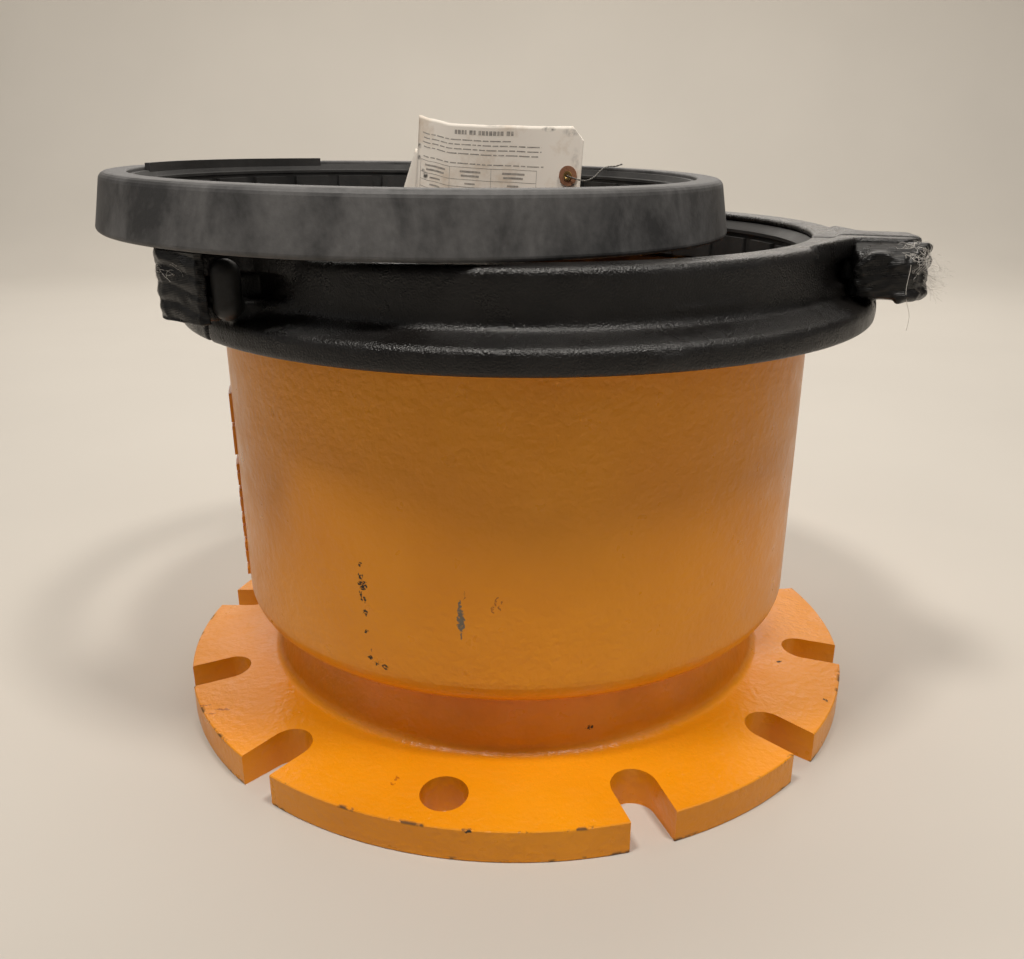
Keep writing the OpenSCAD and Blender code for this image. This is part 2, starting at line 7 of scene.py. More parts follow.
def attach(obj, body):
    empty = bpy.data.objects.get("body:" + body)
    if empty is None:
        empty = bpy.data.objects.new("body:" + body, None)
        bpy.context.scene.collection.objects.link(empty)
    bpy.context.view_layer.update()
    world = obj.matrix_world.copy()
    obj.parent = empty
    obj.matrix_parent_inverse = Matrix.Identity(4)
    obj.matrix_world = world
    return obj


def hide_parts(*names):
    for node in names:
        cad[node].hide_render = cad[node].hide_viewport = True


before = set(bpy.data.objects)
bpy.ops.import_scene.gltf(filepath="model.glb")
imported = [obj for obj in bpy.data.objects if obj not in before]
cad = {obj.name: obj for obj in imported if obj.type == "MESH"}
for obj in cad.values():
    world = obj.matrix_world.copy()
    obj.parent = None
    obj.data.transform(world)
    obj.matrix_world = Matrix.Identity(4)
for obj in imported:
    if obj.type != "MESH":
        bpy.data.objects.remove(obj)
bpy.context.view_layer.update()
print("frame in,", len(cad), "pieces")

# camera, solved from the flange's circles
lookFrom = {
    "place": (-0.00218, -0.5698, 0.3226), "downDeg": 21.249, "rollDeg": 0.06,
    "lens": 34.31, "sensor": 36, "shiftUp": 0.0262, "nearest": 0.01,
}
camData = bpy.data.cameras.new("shopCamera")
camData.sensor_fit = "HORIZONTAL"
camData.sensor_width = lookFrom["sensor"]
camData.lens = lookFrom["lens"]
camData.shift_y = lookFrom["shiftUp"]
camData.clip_start = lookFrom["nearest"]
shopCamera = bpy.data.objects.new("shopCamera", camData)
shopCamera.location = lookFrom["place"]
tip = math.radians(90 - lookFrom["downDeg"])
shopCamera.rotation_euler = Euler((tip, math.radians(lookFrom["rollDeg"]), 0))
bpy.context.scene.collection.objects.link(shopCamera)
bpy.context.scene.camera = shopCamera
bpy.context.scene.view_settings.view_transform = "Standard"


# small helpers for node trees
def put(tree, kind, inputs=None, **props):
    node = tree.nodes.new("ShaderNode" + kind)
    for key, value in props.items():
        setattr(node, key, value)
    for key, value in (inputs or {}).items():
        if isinstance(value, bpy.types.NodeSocket):
            tree.links.new(value, node.inputs[key])
        else:
            node.inputs[key].default_value = value
    return node


def newFinish(name, rough, base=None):
    mat = bpy.data.materials.new(name)
    mat.use_nodes = True
    tree = mat.node_tree
    shader = tree.nodes["Principled BSDF"]
    shader.inputs["Roughness"].default_value = rough
    if base:
        shader.inputs["Base Color"].default_value = (*base, 1)
    where = put(tree, "TexCoord").outputs["Object"]
    return mat, tree, shader, where


def cloud(tree, where, scale, detail=3, rough=0.55, warp=0.0):
    sockets = {"Vector": where, "Scale": scale, "Detail": detail, "Roughness": rough, "Distortion": warp}
    return put(tree, "TexNoise", sockets).outputs["Fac"]


def calc(tree, how, a, b=None, clamp=False):
    node = put(tree, "Math", operation=how, use_clamp=clamp)
    for i, value in enumerate((a, b)):
        if value is None:
            continue
        if isinstance(value, bpy.types.NodeSocket):
            tree.links.new(value, node.inputs[i])
        else:
            node.inputs[i].default_value = value
    return node.outputs[0]


def stops(tree, fac, *pairs):     # colour ramp, pairs of place and colour
    node = put(tree, "ValToRGB", {"Fac": fac})
    points = node.color_ramp.elements
    while len(points) < len(pairs):
        points.new(0.5)
    for point, (place, colour) in zip(points, pairs):
        point.position = place
        point.color = (*colour, 1) if len(colour) == 3 else colour
    return node.outputs["Color"]


def window(tree, value, low, high, toLow=0.0, toHigh=1.0):
    sockets = {"Value": value, "From Min": low, "From Max": high, "To Min": toLow, "To Max": toHigh}
    return put(tree, "MapRange", sockets).outputs["Result"]


def blendColour(tree, fac, a, b):
    node = put(tree, "Mix", data_type="RGBA")
    for i, value in ((0, fac), (6, a), (7, b)):
        if isinstance(value, bpy.types.NodeSocket):
            tree.links.new(value, node.inputs[i])
        else:
            node.inputs[i].default_value = value if i == 0 else (*value, 1)
    return node.outputs[2]


def twoTone(tree, shader, fac, first, second):     # base colour between two stops
    tree.links.new(stops(tree, fac, first, second), shader.inputs["Base Color"])


def roughen(tree, shader, height, strength, distance):
    bump = put(tree, "Bump", {"Strength": strength, "Distance": distance, "Height": height})
    tree.links.new(bump.outputs["Normal"], shader.inputs["Normal"])


def ellipsoid(tree, where, centre, size):     # 0 at the middle, 1 at the rim
    away = put(tree, "VectorMath", {0: where, 1: centre}, operation="SUBTRACT").outputs[0]
    shrink = tuple(1 / s for s in size)
    scaled = put(tree, "VectorMath", {0: away, 1: shrink}, operation="MULTIPLY").outputs[0]
    return put(tree, "VectorMath", {0: scaled}, operation="LENGTH").outputs["Value"]


# orange paint over the casting, with its chips and scratches, and painted shade on the neck and inside the
# bowl
paint = {
    # inside is painted shade: a dark orange laid over the bowl's inside
    "fresh": (0.82, 0.302, 0.005), "deep": (0.74, 0.256, 0.003), "inside": (0.05, 0.018, 0.004),
    "chip": (0.022, 0.02, 0.014), "scuff": (0.15, 0.125, 0.09), "scratch": (0.42, 0.12, 0.004),
    "neckShade": (0.36, 0.10, 0.004), "rough": 0.33, "coat": 0.06, "coatRough": 0.16, "ragged": 0.0045,
    "rimOut": (0.2012, 0.2028), "rimLow": (0.0022, 0.0006), "rimHigh": (0.0164, 0.0176),   # worn zones
    # radius and height of the painted shade on the neck
    "neckShadeOut": (0.152, 0.144), "neckShadeUp": (0.07, 0.055),
    # radius and height of the painted shade inside the bowl
    "insideShadeOut": (0.1575, 0.1555), "insideShadeUp": (0.066, 0.072),
    "chips": [   # place and half sizes in mm
        ((-74.9, -145.3, 128.3), (0.9, 3, 1)), ((-75, -145.2, 121.5), (1.2, 3, 1.7)),
        ((-74.2, -145.7, 117.2), (2.4, 3, 2.8)), ((-76.2, -144.7, 118), (1, 3, 1.7)),
        ((-75.5, -145, 111.8), (1, 3, 1.6)), ((-74.3, -145.6, 109.4), (1.2, 3, 1.9)),
        ((-73.6, -146, 102.3), (1.1, 3, 2.1)), ((-73.4, -146.1, 92), (0.9, 3, 1.1)),
        ((-72.5, -146.5, 77.6), (1.1, 3, 1.3)), ((-69, -148.2, 75.4), (1, 3, 1)),
        ((-64.9, -150.1, 74.4), (1.6, 3, 1.5)), ((37.6, -142.7, 34.7), (2.4, 3, 1.2)),
        ((-23, -202.4, 17.4), (1.6, 2, 1)), ((175.8, -92.3, 18.4), (1.5, 1.5, 1)),
        ((158.6, -53.7, 21.2), (1.3, 1.3, 1)),
    ],
    "scuffs": [
        ((-26.6, -161.3, 106.4), (1.8, 4, 6.8)), ((-26.4, -161.3, 97.5), (0.6, 4, 2.6)),
        ((-26.9, -161.3, 114.5), (0.7, 4, 3)),
    ],
    "scratches": [
        ((-9.6, -163.1, 117.6), (0.45, 4, 1.6)), ((-10.3, -163.1, 115.2), (0.45, 4, 1.8)),
        ((-11.2, -163, 112.4), (0.5, 4, 1.6)), ((-7, -163.2, 116), (0.4, 4, 1.2)),
        ((-8, -163.2, 113.6), (0.4, 4, 1.4)), ((-24.6, -161.6, 119.5), (0.35, 4, 2.6)),
        ((-164.5, -101.7, 18.8), (5, 1.2, 1.5)), ((-175.6, -96.7, 18.2), (4, 0.8, 1.5)),
        ((-170, -105, 18.2), (3.4, 0.7, 1.5)), ((-59.9, -165.9, 20.4), (1.4, 1.6, 1.5)),
        ((-61.5, -170, 20.1), (0.9, 1.2, 1.5)), ((-71.5, -146.9, 81.5), (0.5, 4, 1.4)),
    ],
}


def paintFinish():
    mat, tree, shader, where = newFinish("orangePaint", paint["rough"])
    drift = cloud(tree, where, 9, 3)
    base = stops(tree, drift, (0.35, paint["deep"]), (0.65, paint["fresh"]))
    # chips down to the dark casting
    wobble = put(tree, "TexNoise", {"Vector": where, "Scale": 420, "Detail": 3}).outputs["Color"]
    shaken = put(tree, "VectorMath", {0: wobble, 1: (0.5, 0.5, 0.5)}, operation="SUBTRACT").outputs[0]
    reach = (paint["ragged"],) * 3
    shaken = put(tree, "VectorMath", {0: shaken, 1: reach}, operation="MULTIPLY").outputs[0]
    warped = put(tree, "VectorMath", {0: where, 1: shaken}, operation="ADD").outputs[0]

    def spotMask(spots):
        mask = None
        for centre, size in spots:
            d = ellipsoid(tree, warped, tuple(v / 1000 for v in centre), tuple(v / 1000 for v in size))
            one = window(tree, d, 1.05, 0.85)
            mask = one if mask is None else calc(tree, "MAXIMUM", mask, one)
        return mask

    chipMask = spotMask(paint["chips"])
    speckle = window(tree, cloud(tree, where, 800, 2), 0.42, 0.5)
    chipMask = calc(tree, "MULTIPLY", chipMask, speckle)
    scuffMask = spotMask(paint["scuffs"])
    streaks = window(tree, cloud(tree, where, 600, 2), 0.28, 0.42)
    scuffMask = calc(tree, "MULTIPLY", scuffMask, streaks)
    # worn rims of the flange
    parts = put(tree, "SeparateXYZ", {"Vector": where})
    flat = put(tree, "CombineXYZ", {"X": parts.outputs["X"], "Y": parts.outputs["Y"]})
    radius = put(tree, "VectorMath", {0: flat.outputs[0]}, operation="LENGTH").outputs["Value"]
    up = parts.outputs["Z"]
    outer = window(tree, radius, *paint["rimOut"])
    low = window(tree, up, *paint["rimLow"])
    high = window(tree, up, *paint["rimHigh"])
    rim = calc(tree, "MULTIPLY", outer, calc(tree, "MAXIMUM", low, high))
    worn = calc(tree, "MULTIPLY", rim, window(tree, cloud(tree, where, 55, 4, 0.7), 0.56, 0.62))
    # painted shade: a patchy darker orange on the neck where it meets flange and bowl
    neck = calc(tree, "MULTIPLY", window(tree, radius, *paint["neckShadeOut"]), window(tree, up, *paint["neckShadeUp"]))
    neckShade = calc(tree, "MULTIPLY", neck, window(tree, cloud(tree, where, 30, 4, 0.6), 0.45, 0.75, 0, 0.35))
    base = blendColour(tree, neckShade, base, paint["neckShade"])
    base = blendColour(tree, scuffMask, base, paint["scuff"])
    lines = spotMask(paint["scratches"])
    lines = calc(tree, "MULTIPLY", lines, window(tree, cloud(tree, where, 700, 2), 0.35, 0.5))
    base = blendColour(tree, lines, base, paint["scratch"])
    # painted shade: the bowl's inside darkened to a dark orange
    within = window(tree, radius, *paint["insideShadeOut"])
    inside = calc(tree, "MULTIPLY", within, window(tree, up, *paint["insideShadeUp"]))
    base = blendColour(tree, inside, base, paint["inside"])
    dark = calc(tree, "MAXIMUM", chipMask, calc(tree, "MULTIPLY", worn, 0.85))
    base = blendColour(tree, dark, base, paint["chip"])
    tree.links.new(base, shader.inputs["Base Color"])
    sheen = window(tree, cloud(tree, where, 60, 3), 0.3, 0.7, paint["rough"] - 0.07, paint["rough"] + 0.08)
    tree.links.new(calc(tree, "ADD", sheen, calc(tree, "MULTIPLY", dark, 0.35)), shader.inputs["Roughness"])
    # orange peel and casting lumps
    peel = cloud(tree, where, 270, 3, 0.5)
    lumps = cloud(tree, where, 70, 4, 0.6)
    height = calc(tree, "ADD", calc(tree, "MULTIPLY", peel, 0.8), lumps)
    height = calc(tree, "SUBTRACT", height, calc(tree, "MULTIPLY", dark, 0.4))
    roughen(tree, shader, height, 0.5, 0.0012)
    shader.inputs["Specular IOR Level"].default_value = 0.38
    shader.inputs["Coat Weight"].default_value = paint["coat"]
    shader.inputs["Coat Roughness"].default_value = paint["coatRough"]
    return mat


# black coating over the clamp ring's grainy casting
ringCoat = {"black": (0.0045, 0.0038, 0.0035), "worn": (0.0095, 0.0082, 0.0074), "rough": 0.3}


def ringFinish():
    mat, tree, shader, where = newFinish("blackCastCoat", ringCoat["rough"])
    tone = cloud(tree, where, 26, 5, 0.65)
    twoTone(tree, shader, tone, (0.4, ringCoat["black"]), (0.72, ringCoat["worn"]))
    rough = ringCoat["rough"]
    patchy = window(tree, cloud(tree, where, 45, 4), 0.3, 0.7, rough - 0.1, rough + 0.14)
    tree.links.new(patchy, shader.inputs["Roughness"])
    grain = cloud(tree, where, 1150, 2, 0.5)
    pits = cloud(tree, where, 170, 3, 0.5)
    roughen(tree, shader, calc(tree, "ADD", grain, calc(tree, "MULTIPLY", pits, 0.9)), 0.75, 0.0006)
    shader.inputs["Specular IOR Level"].default_value = 0.42
    return mat


# moulded rubber, with the pale bloom of handling
rubber = {   # dark tone, pale tone and roughness
    "seal": ((0.012, 0.0118, 0.0117), (0.034, 0.032, 0.031), 0.55),
    "gasket": ((0.03, 0.0295, 0.03), (0.125, 0.122, 0.122), 0.58),
    "insert": ((0.012, 0.0118, 0.0118), (0.036, 0.035, 0.034), 0.62),
}


def rubberFinish(kind):
    dark, pale, rough = rubber[kind]
    mat, tree, shader, where = newFinish(kind + "Rubber", rough)
    stretch = put(tree, "Mapping", {"Vector": where, "Scale": (1, 1, 0.5)}).outputs[0]
    bloom = cloud(tree, stretch, 34, 5, 0.6, 0.4)
    fine = cloud(tree, where, 240, 3)
    mixed = calc(tree, "ADD", calc(tree, "MULTIPLY", bloom, 0.82), calc(tree, "MULTIPLY", fine, 0.18))
    twoTone(tree, shader, mixed, (0.38, dark), (0.68, pale))
    tree.links.new(window(tree, bloom, 0.3, 0.7, rough - 0.1, rough + 0.12), shader.inputs["Roughness"])
    roughen(tree, shader, cloud(tree, where, 520, 4, 0.6), 0.22, 0.0005)
    return mat


# steel of the bolts, nuts and washers
steel = {   # clean tone, stained tone, roughness and metal share
    "bolt": ((0.0035, 0.0032, 0.003), (0.009, 0.007, 0.0055), 0.46, 0.0),
    "plated": ((0.42, 0.42, 0.41), (0.24, 0.22, 0.19), 0.36, 1.0),
}


def steelFinish(kind):
    bright, stain, rough, metal = steel[kind]
    mat, tree, shader, where = newFinish(kind + "Steel", rough)
    rust = cloud(tree, where, 150, 5, 0.65)
    twoTone(tree, shader, rust, (0.52, bright), (0.72, stain))
    tree.links.new(window(tree, rust, 0.4, 0.7, rough, rough + 0.3), shader.inputs["Roughness"])
    tree.links.new(window(tree, rust, 0.5, 0.7, metal, metal * 0.35), shader.inputs["Metallic"])
    roughen(tree, shader, cloud(tree, where, 900, 3), 0.2, 0.0003)
    return mat


# the tag's place and curl, needed by its finish too
tag = {
    "corner": (-0.0682, 0.1255, 0.2698), "turnDeg": (-1, 3, -27.5),
    "long": 0.1206, "tall": 0.0603, "thick": 0.0005, "clip": 0.008, "eyeletIn": 0.0082, "cuts": (60, 30),
    "sag": (
        (0, 0.0), (0.010, -0.0018), (0.027, -0.0038), (0.05, -0.0036), (0.08, -0.0026), (0.1206, -0.001),
    ),
    "wave": 0.0016, "waveRate": 62, "waveFrom": 0.6, "curl": 0.0022, "curlRun": 0.03,
}
tagTurn = Euler([math.radians(a) for a in tag["turnDeg"]]).to_matrix()


def smoothLine(pairs, x):
    for (x0, y0), (x1, y1) in zip(pairs, pairs[1:]):
        if x <= x1:
            t = max(0, (x - x0) / (x1 - x0))
            return y0 + (y1 - y0) * t * t * (3 - 2 * t)
    return pairs[-1][1]


def onTag(u, v, out=0.0):     # a point on the curled card, out is towards the viewer
    free = min(1, max(0, v / tag["tall"]))
    bow = tag["wave"] * math.sin(u * tag["waveRate"] + tag["waveFrom"]) * free
    bow = bow + tag["curl"] * free * max(0, 1 - u / tag["curlRun"]) ** 2
    local = Vector((u, bow - tag["thick"] - out, v + smoothLine(tag["sag"], u)))
    return Vector(tag["corner"]) + tagTurn @ local


# paper, fibre, brass and wire of the tag
tagLook = {
    "card": (0.93, 0.86, 0.77), "stain": (0.66, 0.52, 0.38), "markDark": (0.05, 0.045, 0.04),
    "ink": (0.26, 0.24, 0.22), "inkFaded": (0.52, 0.47, 0.41),
    "fibre": (0.22, 0.09, 0.045), "fibrePale": (0.36, 0.17, 0.09),
    "brass": (0.56, 0.38, 0.15), "brassDark": (0.36, 0.22, 0.09),
    "wire": (0.21, 0.2, 0.185), "wireDark": (0.11, 0.1, 0.09),
    "darkMarks": [   # along, up, half sizes in mm and depth
        (1.4, 41, 1.6, 2.2, 0.9), (1.6, 34, 1.4, 1.8, 0.85), (7, 24.5, 2.2, 2.6, 0.95),
        (5, 27, 1.2, 1.2, 0.7), (97, 58.6, 5, 1.6, 0.7), (112, 57, 7, 3, 0.35),
        (60, 59.8, 30, 0.8, 0.3), (116, 40, 3, 8, 0.2),
    ],
}


def cardFinish():
    mat, tree, shader, where = newFinish("creamCard", 0.8)
    stain = cloud(tree, where, 38, 5, 0.65)
    base = stops(tree, stain, (0.5, tagLook["card"]), (0.8, tagLook["stain"]))
    # dark marks listed on the card: spots near its left end and a line along its top edge
    for u, v, wide, tall, depth in tagLook["darkMarks"]:
        d = ellipsoid(tree, where, onTag(u / 1000, v / 1000), (wide / 1000, 0.004, tall / 1000))
        near = window(tree, d, 1.1, 0.5)
        soft = calc(tree, "MULTIPLY", near, window(tree, cloud(tree, where, 330, 3), 0.35, 0.6))
        base = blendColour(tree, calc(tree, "MULTIPLY", soft, depth), base, tagLook["markDark"])
    tree.links.new(base, shader.inputs["Base Color"])
    roughen(tree, shader, cloud(tree, where, 1400, 3), 0.15, 0.0002)
    return mat


def fibreFinish():
    mat, tree, shader, where = newFinish("brownFibre", 0.75)
    fleck = cloud(tree, where, 900, 4, 0.7)
    twoTone(tree, shader, fleck, (0.35, tagLook["fibre"]), (0.7, tagLook["fibrePale"]))
    roughen(tree, shader, fleck, 0.3, 0.0002)
    return mat


def brassFinish():
    mat, tree, shader, where = newFinish("dullBrass", 0.38)
    tone = cloud(tree, where, 500, 3)
    twoTone(tree, shader, tone, (0.35, tagLook["brass"]), (0.75, tagLook["brassDark"]))
    shader.inputs["Metallic"].default_value = 1
    return mat


def wireFinish():
    mat, tree, shader, where = newFinish("softWire", 0.35)
    tone = cloud(tree, where, 700, 3)
    twoTone(tree, shader, tone, (0.3, tagLook["wire"]), (0.75, tagLook["wireDark"]))
    shader.inputs["Metallic"].default_value = 1
    return mat


def inkFinish():
    mat, tree, shader, where = newFinish("greyInk", 0.85)
    fade = cloud(tree, where, 420, 4, 0.7)
    twoTone(tree, shader, fade, (0.35, tagLook["ink"]), (0.68, tagLook["inkFaded"]))
    return mat


# black cloth tape and its loose white threads
tapeLook = {
    "black": (0.0036, 0.0033, 0.0033), "dusty": (0.009, 0.0085, 0.0085), "rough": 0.27,
    "thread": (0.8, 0.77, 0.73), "threadDark": (0.5, 0.47, 0.43),
}


def tapeFinish():
    mat, tree, shader, where = newFinish("blackClothTape", tapeLook["rough"])
    dust = cloud(tree, where, 130, 4, 0.7)
    twoTone(tree, shader, dust, (0.5, tapeLook["black"]), (0.78, tapeLook["dusty"]))
    rough = tapeLook["rough"]
    tree.links.new(window(tree, dust, 0.3, 0.75, rough - 0.08, rough + 0.25), shader.inputs["Roughness"])
    weave = {"Vector": where, "Scale": 420, "Distortion": 1.2, "Detail": 1}
    warp = put(tree, "TexWave", weave, bands_direction="Z").outputs["Fac"]
    height = calc(tree, "ADD", calc(tree, "MULTIPLY", warp, 0.35), cloud(tree, where, 260, 4))
    roughen(tree, shader, height, 0.3, 0.0006)
    shader.inputs["Specular IOR Level"].default_value = 0.36
    return mat


def threadFinish():
    mat, tree, shader, where = newFinish("whiteThread", 0.8)
    tone = cloud(tree, where, 600, 2)
    twoTone(tree, shader, tone, (0.3, tapeLook["thread"]), (0.8, tapeLook["threadDark"]))
    return mat


finishes = {
    "paint": paintFinish(), "ring": ringFinish(),
    "seal": rubberFinish("seal"), "gasket": rubberFinish("gasket"), "insert": rubberFinish("insert"),
    "bolt": steelFinish("bolt"), "plated": steelFinish("plated"),
    "card": cardFinish(), "fibre": fibreFinish(), "brass": brassFinish(),
    "wire": wireFinish(), "ink": inkFinish(),
    "tape": tapeFinish(), "thread": threadFinish(),
}
print("finishes made:", len(finishes))


# the CAD pieces that stay as they are
wears = {
    "flange_body": "paint", "seal_ring": "seal", "gasket_ring": "gasket", "gasket_insert": "insert",
    "t_bolt_left": "bolt", "t_bolt_right": "bolt", "t_bolt_rear": "bolt",
    "washer_left": "plated", "washer_right": "plated", "washer_rear": "plated",
    "nut_left": "plated", "nut_right": "plated", "nut_rear": "plated",
    "tag_patch": "fibre", "tag_eyelet": "brass",
}
for piece, finish in wears.items():
    cad[piece].data.materials.clear()
    cad[piece].data.materials.append(finishes[finish])


def addPiece(name, mesh, finish, slot, *stands):
    piece = bpy.data.objects.new(name, mesh)
    bpy.context.scene.collection.objects.link(piece)
    mesh.materials.clear()
    mesh.materials.append(finishes[finish])
    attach(piece, "adaptor")
    if stands:
        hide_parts(*stands)
    return piece


weldGap = 2e-6     # metres


def cadCopy(node):     # the CAD solid with its seams welded
    bm = bmesh.new()
    bm.from_mesh(cad[node].data)
    bmesh.ops.remove_doubles(bm, verts=bm.verts, dist=weldGap)
    return bm


def remeshed(bm, voxel):     # a fresh even mesh over closed shells
    mesh = bpy.data.meshes.new("shells")
    bm.to_mesh(mesh)
    bm.free()
    holder = bpy.data.objects.new("holder", mesh)
    bpy.context.scene.collection.objects.link(holder)
    step = holder.modifiers.new("even", "REMESH")
    step.mode = "VOXEL"
    step.voxel_size = voxel
    graph = bpy.context.evaluated_depsgraph_get()
    even = bpy.data.meshes.new_from_object(holder.evaluated_get(graph))
    bpy.data.objects.remove(holder)
    return even


def readPoints(mesh):
    points = np.empty(len(mesh.vertices) * 3)
    mesh.vertices.foreach_get("co", points)
    return points.reshape(-1, 3)


def shadeSmooth(mesh):
    mesh.polygons.foreach_set("use_smooth", np.ones(len(mesh.polygons), bool))


def writePoints(mesh, points):
    mesh.vertices.foreach_set("co", points.astype(np.float32).ravel())
    shadeSmooth(mesh)
    mesh.update()


def softened(mesh, points, passes, share=0.5):     # rounds the edges as a casting's are
    edges = np.empty(len(mesh.edges) * 2, int)
    mesh.edges.foreach_get("vertices", edges)
    edges = edges.reshape(-1, 2)
    count = np.bincount(edges.ravel(), minlength=len(points))[:, None]
    for i in range(passes):
        total = np.zeros_like(points)
        np.add.at(total, edges[:, 0], points[edges[:, 1]])
        np.add.at(total, edges[:, 1], points[edges[:, 0]])
        points = points + share * (total / np.maximum(count, 1) - points)
    return points


# clamp ring, three castings with soft edges
casting = {"voxel": 0.0012, "passes": 5}
for side in ("front", "right", "left"):
    mesh = remeshed(cadCopy("clamp_segment_" + side), casting["voxel"])
    writePoints(mesh, softened(mesh, readPoints(mesh), casting["passes"]))
    addPiece("ringSegment" + side.title(), mesh, "ring", "black_cast_iron", "clamp_segment_" + side)
    print("ring segment", side, len(mesh.polygons), "faces")


# wound tape, drawn over the nut and crumpled into folds
windings = {
    "voxel": 0.0006, "passes": 14, "pitch": 0.0078, "overNut": -0.012, "pastLug": 0.196,
    "fold": {"left": 0.0013, "right": 0.0021}, "crease": {"left": 0.0011, "right": 0.0019},
    "lift": {"left": -0.0015, "right": -0.0003}, "seed": {"left": 3.0, "right": 11.4},
    "seamDeg": {"left": 218, "right": -22}, "ringAside": 0.006,
    "foldFrom": 0.192, "foldRun": 0.016,   # how far out the folds begin and grow
    "driftRate": (30, 14), "lapRate": (3.7, 18), "creaseRate": (75, 170), "fineRate": (190, 380),
    "bundle": [   # the right bundle's corners in mm, out along and up
        (182.5, -29, 246), (182.5, -29, 260), (203, -29, 246), (203, -29, 261), (178.5, -22, 245.5),
        (178.5, -22, 267), (207.5, -22, 244), (207.5, -22, 268), (176.5, -13, 244.5), (176.5, -13, 270.5),
        (211, -12, 243.5), (211, -12, 271), (211.5, -3, 243.5), (211.5, -3, 269),
    ],
}


def seamPlace(side, out, along, z):     # out from the ring's axis, along the bolt, and up
    a = math.radians(windings["seamDeg"][side])
    x = windings["ringAside"] + out * math.cos(a) - along * math.sin(a)
    return Vector((x, out * math.sin(a) + along * math.cos(a), z))


def onSeam(side, p):     # the same two distances for a point
    a = math.radians(windings["seamDeg"][side])
    x = p[0] - windings["ringAside"]
    return x * math.cos(a) + p[1] * math.sin(a), -x * math.sin(a) + p[1] * math.cos(a)


def addHull(bm, places):
    corners = [bm.verts.new(p) for p in places]
    made = bmesh.ops.convex_hull(bm, input=corners)
    spare = [v for v in made["geom_interior"] + made["geom_unused"] if isinstance(v, bmesh.types.BMVert)]
    bmesh.ops.delete(bm, geom=list(set(spare)), context="VERTS")


def tapeShell(side):     # the wrap round the lugs and the bundle over the nut
    bm = cadCopy("tape_" + side)
    wrap = [v.co.copy() for v in bm.verts if onSeam(side, v.co)[0] > windings["pastLug"]]
    cup = [v.co.copy() for v in bm.verts if onSeam(side, v.co)[1] < windings["overNut"]]
    if side == "right":
        cup = [seamPlace(side, *(v / 1000 for v in corner)) for corner in windings["bundle"]]
    addHull(bm, wrap)
    addHull(bm, cup)
    bmesh.ops.recalc_face_normals(bm, faces=bm.faces)
    return remeshed(bm, windings["voxel"])


def crumpledTape(side):
    mesh = tapeShell(side)
    points = softened(mesh, readPoints(mesh), windings["passes"])
    writePoints(mesh, points)
    normals = np.empty(len(mesh.vertices) * 3)
    mesh.vertex_normals.foreach_get("vector", normals)
    normals = normals.reshape(-1, 3)
    seed = windings["seed"][side]
    driftSide, driftUp = windings["driftRate"]
    lapJump, lapSide = windings["lapRate"]
    creaseSide, creaseUp = windings["creaseRate"]
    fineSide, fineUp = windings["fineRate"]
    push = np.empty(len(points))
    for i, p in enumerate(points):
        drift = noise.noise(Vector((p[0] * driftSide + seed, p[1] * driftSide, p[2] * driftUp)))
        lap = p[2] / windings["pitch"] + 0.6 * drift
        tuck = abs(math.sin(math.pi * lap)) ** 0.6
        lapSpot = Vector((math.floor(lap) * lapJump + seed, p[0] * lapSide, p[1] * lapSide))
        size = 0.65 + 0.8 * noise.noise(lapSpot)
        size *= min(1, max(0.12, (onSeam(side, p)[0] - windings["foldFrom"]) / windings["foldRun"]))
        creaseSpot = Vector((p[0] * creaseSide + seed, p[1] * creaseSide, p[2] * creaseUp))
        fineSpot = Vector((p[0] * fineSide, p[1] * fineSide + seed, p[2] * fineUp))
        crease = 1 - abs(noise.noise(creaseSpot))
        crease += 0.4 * (1 - abs(noise.noise(fineSpot)))
        push[i] = windings["fold"][side] * size * tuck + windings["crease"][side] * (crease - 1.0)
    flat = 1 - 0.8 * np.abs(normals[:, 2])
    points = points + normals * ((push + windings["lift"][side]) * flat)[:, None]
    points = softened(mesh, points, 1, 0.3)
    writePoints(mesh, points)
    addPiece("tape" + side.title(), mesh, "tape", "cloth_tape", "tape_" + side)
    print("tape", side, len(mesh.polygons), "faces")
    return BVHTree.FromPolygons([Vector(p) for p in points], [f.vertices[:] for f in mesh.polygons])


tapeFace = {side: crumpledTape(side) for side in ("left", "right")}


# loose threads at the torn tape ends, given as out, along and up ranges of the seam
frays = {
    "left": [
        {"from": ((0.2085, 0.2095), (-0.002, 0.015), (0.2625, 0.2670)), "head": (0, 1, 0),
         "count": 14, "length": (0.006, 0.012), "thick": 0.00006, "curl": 0.36, "hug": 0.0003, "seed": 5},
    ],
    "right": [
        {"from": ((0.203, 0.211), (-0.026, -0.010), (0.2600, 0.2680)), "head": (0.7, 0.4, 0),
         "count": 90, "length": (0.004, 0.010), "thick": 0.00006, "curl": 0.7, "hug": 0.0006, "seed": 9},
        {"from": ((0.209, 0.2135), (-0.016, -0.006), (0.249, 0.259)), "head": (0.9, -0.1, -0.45),
         "count": 55, "length": (0.005, 0.013), "thick": 0.000045, "curl": 0.33, "hug": 0, "seed": 21},
        {"from": ((0.210, 0.213), (-0.016, -0.008), (0.258, 0.265)), "head": (0.8, -0.1, -0.3),
         "count": 16, "length": (0.006, 0.014), "thick": 0.00006, "curl": 0.5, "hug": 0, "seed": 33},
    ],
    "steps": 8, "bevel": 0.0001,
    "hanging": [
        (0.2050, -0.030, 0.2625), (0.2066, -0.030, 0.2593), (0.2040, -0.030, 0.2514),
        (0.2052, -0.030, 0.2450), (0.2056, -0.0265, 0.2415), (0.2072, -0.0265, 0.2375),
        (0.2062, -0.0265, 0.2310),
    ],
    "hangingThick": 0.00011, "hangingLies": 4, "hangingOff": 0.0004,
}


def addStrand(data, places, thick):
    spline = data.splines.new("NURBS")
    spline.points.add(len(places) - 1)
    for point, place in zip(spline.points, places):
        point.co = (*place, 1)
        point.radius = thick / data.bevel_depth
    spline.use_endpoint_u = True
    spline.order_u = 4


